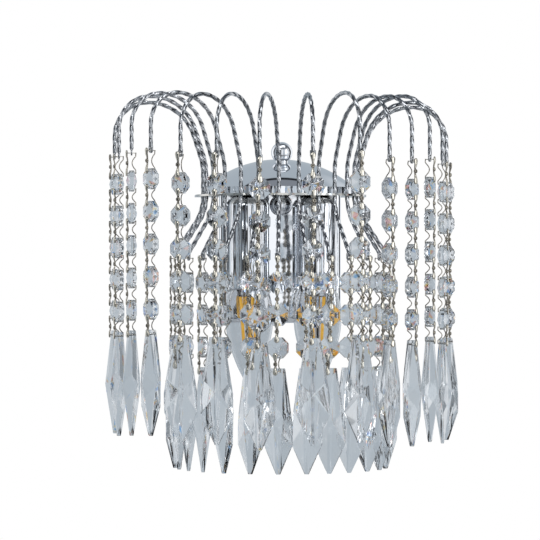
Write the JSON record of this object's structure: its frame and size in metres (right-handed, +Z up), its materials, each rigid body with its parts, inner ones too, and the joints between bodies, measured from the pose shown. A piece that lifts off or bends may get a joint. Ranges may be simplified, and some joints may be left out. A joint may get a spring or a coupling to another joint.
{
  "type": "crystal wall sconce",
  "caption": "Half-round chrome wall sconce with arched twisted rods, two candle lamps and hanging strands of cut crystal, on a slotted wall bracket",
  "frame": {"origin": "On the wall plane, midway between the two wall screw slots", "axes": "X to the right as seen from the room, Y into the wall, Z up; the fitting stands out along -Y"},
  "size_m": [0.2592, 0.143, 0.2748],
  "materials": {
    "rod_chrome": "bright chrome on twisted rod",
    "crystal": "clear cut crystal, polished facets, pale nickel clips",
    "polished_chrome": "mirror-polished chrome",
    "plated_steel": "zinc-plated steel",
    "clear_glass": "thin clear glass",
    "cap_metal": "plain rolled metal",
    "filament_yellow": "yellow filament sticks on a glass stem",
    "dark_plastic": "black moulded plastic",
    "white_plastic": "white moulded plastic",
    "lead_sleeve": "white heat-proof sleeve"
  },
  "bodies": {
    "fitting": {"arm_01": "rod_chrome", "arm_02": "rod_chrome", "arm_03": "rod_chrome", "arm_04": "rod_chrome", "arm_05": "rod_chrome", "arm_06": "rod_chrome", "arm_07": "rod_chrome", "arm_08": "rod_chrome", "arm_09": "rod_chrome", "arm_10": "rod_chrome", "arm_11": "rod_chrome", "arm_12": "rod_chrome", "arm_13": "rod_chrome", "arm_14": "rod_chrome", "arm_plate": "polished_chrome", "dome_cover": "polished_chrome", "ball_nuts": "polished_chrome", "back_plate": "polished_chrome", "wall_bracket": "plated_steel", "centre_stud": "plated_steel", "cup_left": "polished_chrome", "cup_right": "polished_chrome", "lampholder_left": "dark_plastic", "lampholder_right": "dark_plastic", "bulb_left": "clear_glass", "bulb_right": "clear_glass", "bulb_caps": "cap_metal", "bulb_filaments": "filament_yellow", "terminal_block": "white_plastic", "lamp_nipples": "plated_steel", "lamp_leads": "lead_sleeve", "fixing_screws": "plated_steel"},
    "outer_strand_01_body": {"outer_strand_01": "crystal"},
    "outer_strand_02_body": {"outer_strand_02": "crystal"},
    "outer_strand_03_body": {"outer_strand_03": "crystal"},
    "outer_strand_04_body": {"outer_strand_04": "crystal"},
    "outer_strand_05_body": {"outer_strand_05": "crystal"},
    "outer_strand_06_body": {"outer_strand_06": "crystal"},
    "outer_strand_07_body": {"outer_strand_07": "crystal"},
    "outer_strand_08_body": {"outer_strand_08": "crystal"},
    "outer_strand_09_body": {"outer_strand_09": "crystal"},
    "outer_strand_10_body": {"outer_strand_10": "crystal"},
    "outer_strand_11_body": {"outer_strand_11": "crystal"},
    "outer_strand_12_body": {"outer_strand_12": "crystal"},
    "outer_strand_13_body": {"outer_strand_13": "crystal"},
    "outer_strand_14_body": {"outer_strand_14": "crystal"},
    "inner_strand_01_body": {"inner_strand_01": "crystal"},
    "inner_strand_02_body": {"inner_strand_02": "crystal"},
    "inner_strand_03_body": {"inner_strand_03": "crystal"},
    "inner_strand_04_body": {"inner_strand_04": "crystal"},
    "inner_strand_05_body": {"inner_strand_05": "crystal"},
    "inner_strand_06_body": {"inner_strand_06": "crystal"},
    "inner_strand_07_body": {"inner_strand_07": "crystal"},
    "inner_strand_08_body": {"inner_strand_08": "crystal"},
    "inner_strand_09_body": {"inner_strand_09": "crystal"},
    "inner_strand_10_body": {"inner_strand_10": "crystal"},
    "inner_strand_11_body": {"inner_strand_11": "crystal"},
    "inner_strand_12_body": {"inner_strand_12": "crystal"},
    "inner_strand_13_body": {"inner_strand_13": "crystal"},
    "inner_strand_14_body": {"inner_strand_14": "crystal"}
  },
  "joints": [
    {"name": "outer_strand_01_swing", "type": "hinge", "parent": "fitting", "child": "outer_strand_01_body", "pos_m": [-0.1225, -0.014, 0.02065], "axis": [0, 1, 0], "range_deg": [-2.5, 15]},
    {"name": "outer_strand_02_swing", "type": "hinge", "parent": "fitting", "child": "outer_strand_02_body", "pos_m": [-0.11997, -0.03832, 0.02015], "axis": [-0.1987, 0.9801, 0], "range_deg": [-2.5, 15]},
    {"name": "outer_strand_03_swing", "type": "hinge", "parent": "fitting", "child": "outer_strand_03_body", "pos_m": [-0.11156, -0.06438, 0.02165], "axis": [-0.4116, 0.9114, 0], "range_deg": [-2.5, 15]},
    {"name": "outer_strand_04_swing", "type": "hinge", "parent": "fitting", "child": "outer_strand_04_body", "pos_m": [-0.09849, -0.08633, 0.02265], "axis": [-0.5919, 0.806, 0], "range_deg": [-2.5, 15]},
    {"name": "outer_strand_05_swing", "type": "hinge", "parent": "fitting", "child": "outer_strand_05_body", "pos_m": [-0.07832, -0.10759, 0.01915], "axis": [-0.7669, 0.6417, 0], "range_deg": [-2.5, 15]},
    {"name": "outer_strand_06_swing", "type": "hinge", "parent": "fitting", "child": "outer_strand_06_body", "pos_m": [-0.05364, -0.12361, 0.01815], "axis": [-0.8982, 0.4396, 0], "range_deg": [-2.5, 15]},
    {"name": "outer_strand_07_swing", "type": "hinge", "parent": "fitting", "child": "outer_strand_07_body", "pos_m": [-0.02431, -0.13354, 0.01465], "axis": [-0.9799, 0.1993, 0], "range_deg": [-2.5, 15]},
    {"name": "outer_strand_08_swing", "type": "hinge", "parent": "fitting", "child": "outer_strand_08_body", "pos_m": [0.01287, -0.13573, 0.01765], "axis": [-0.9945, -0.1051, 0], "range_deg": [-2.5, 15]},
    {"name": "outer_strand_09_swing", "type": "hinge", "parent": "fitting", "child": "outer_strand_09_body", "pos_m": [0.04675, -0.1272, 0.01965], "axis": [-0.9243, -0.3818, 0], "range_deg": [-2.5, 15]},
    {"name": "outer_strand_10_swing", "type": "hinge", "parent": "fitting", "child": "outer_strand_10_body", "pos_m": [0.06908, -0.11489, 0.01565], "axis": [-0.8251, -0.565, 0], "range_deg": [-2.5, 15]},
    {"name": "outer_strand_11_swing", "type": "hinge", "parent": "fitting", "child": "outer_strand_11_body", "pos_m": [0.08691, -0.09922, 0.01515], "axis": [-0.7001, -0.714, 0], "range_deg": [-2.5, 15]},
    {"name": "outer_strand_12_swing", "type": "hinge", "parent": "fitting", "child": "outer_strand_12_body", "pos_m": [0.10219, -0.08, 0.01715], "axis": [-0.5426, -0.84, 0], "range_deg": [-2.5, 15]},
    {"name": "outer_strand_13_swing", "type": "hinge", "parent": "fitting", "child": "outer_strand_13_body", "pos_m": [0.11457, -0.05559, 0.01465], "axis": [-0.3412, -0.94, 0], "range_deg": [-2.5, 15]},
    {"name": "outer_strand_14_swing", "type": "hinge", "parent": "fitting", "child": "outer_strand_14_body", "pos_m": [0.12214, -0.02079, 0.01515], "axis": [-0.0555, -0.9985, 0], "range_deg": [-2.5, 15]},
    {"name": "inner_strand_01_swing", "type": "hinge", "parent": "fitting", "child": "inner_strand_01_body", "pos_m": [-0.07791, -0.014, -0.05385], "axis": [0, 1, 0], "range_deg": [-1.5, 1.5]},
    {"name": "inner_strand_02_swing", "type": "hinge", "parent": "fitting", "child": "inner_strand_02_body", "pos_m": [-0.07584, -0.03178, -0.05385], "axis": [-0.2282, 0.9736, 0], "range_deg": [-1.5, 1.5]},
    {"name": "inner_strand_03_swing", "type": "hinge", "parent": "fitting", "child": "inner_strand_03_body", "pos_m": [-0.06977, -0.04868, -0.05385], "axis": [-0.4451, 0.8955, 0], "range_deg": [-1.5, 1.5]},
    {"name": "inner_strand_04_swing", "type": "hinge", "parent": "fitting", "child": "inner_strand_04_body", "pos_m": [-0.0601, -0.06352, -0.05385], "axis": [-0.636, 0.7717, 0], "range_deg": [-1.5, 1.5]},
    {"name": "inner_strand_05_swing", "type": "hinge", "parent": "fitting", "child": "inner_strand_05_body", "pos_m": [-0.04582, -0.07693, -0.05385], "axis": [-0.8084, 0.5886, 0], "range_deg": [-1.5, 1.5]},
    {"name": "inner_strand_06_swing", "type": "hinge", "parent": "fitting", "child": "inner_strand_06_body", "pos_m": [-0.02763, -0.08685, -0.05385], "axis": [-0.935, 0.3546, 0], "range_deg": [-1.5, 1.5]},
    {"name": "inner_strand_07_swing", "type": "hinge", "parent": "fitting", "child": "inner_strand_07_body", "pos_m": [-0.00804, -0.0915, -0.05385], "axis": [-0.9947, 0.1032, 0], "range_deg": [-1.5, 1.5]},
    {"name": "inner_strand_08_swing", "type": "hinge", "parent": "fitting", "child": "inner_strand_08_body", "pos_m": [0.01247, -0.09089, -0.05385], "axis": [-0.9871, -0.16, 0], "range_deg": [-1.5, 1.5]},
    {"name": "inner_strand_09_swing", "type": "hinge", "parent": "fitting", "child": "inner_strand_09_body", "pos_m": [0.02907, -0.08617, -0.05385], "axis": [-0.9276, -0.3736, 0], "range_deg": [-1.5, 1.5]},
    {"name": "inner_strand_10_swing", "type": "hinge", "parent": "fitting", "child": "inner_strand_10_body", "pos_m": [0.04416, -0.07772, -0.05385], "axis": [-0.8219, -0.5696, 0], "range_deg": [-1.5, 1.5]},
    {"name": "inner_strand_11_swing", "type": "hinge", "parent": "fitting", "child": "inner_strand_11_body", "pos_m": [0.05857, -0.06479, -0.05385], "axis": [-0.6552, -0.7555, 0], "range_deg": [-1.5, 1.5]},
    {"name": "inner_strand_12_swing", "type": "hinge", "parent": "fitting", "child": "inner_strand_12_body", "pos_m": [0.06918, -0.04965, -0.05385], "axis": [-0.4581, -0.8889, 0], "range_deg": [-1.5, 1.5]},
    {"name": "inner_strand_13_swing", "type": "hinge", "parent": "fitting", "child": "inner_strand_13_body", "pos_m": [0.07547, -0.03333, -0.05385], "axis": [-0.2482, -0.9687, 0], "range_deg": [-1.5, 1.5]},
    {"name": "inner_strand_14_swing", "type": "hinge", "parent": "fitting", "child": "inner_strand_14_body", "pos_m": [0.07791, -0.014, -0.05385], "axis": [0, -1, 0], "range_deg": [-1.5, 1.5]}
  ]
}
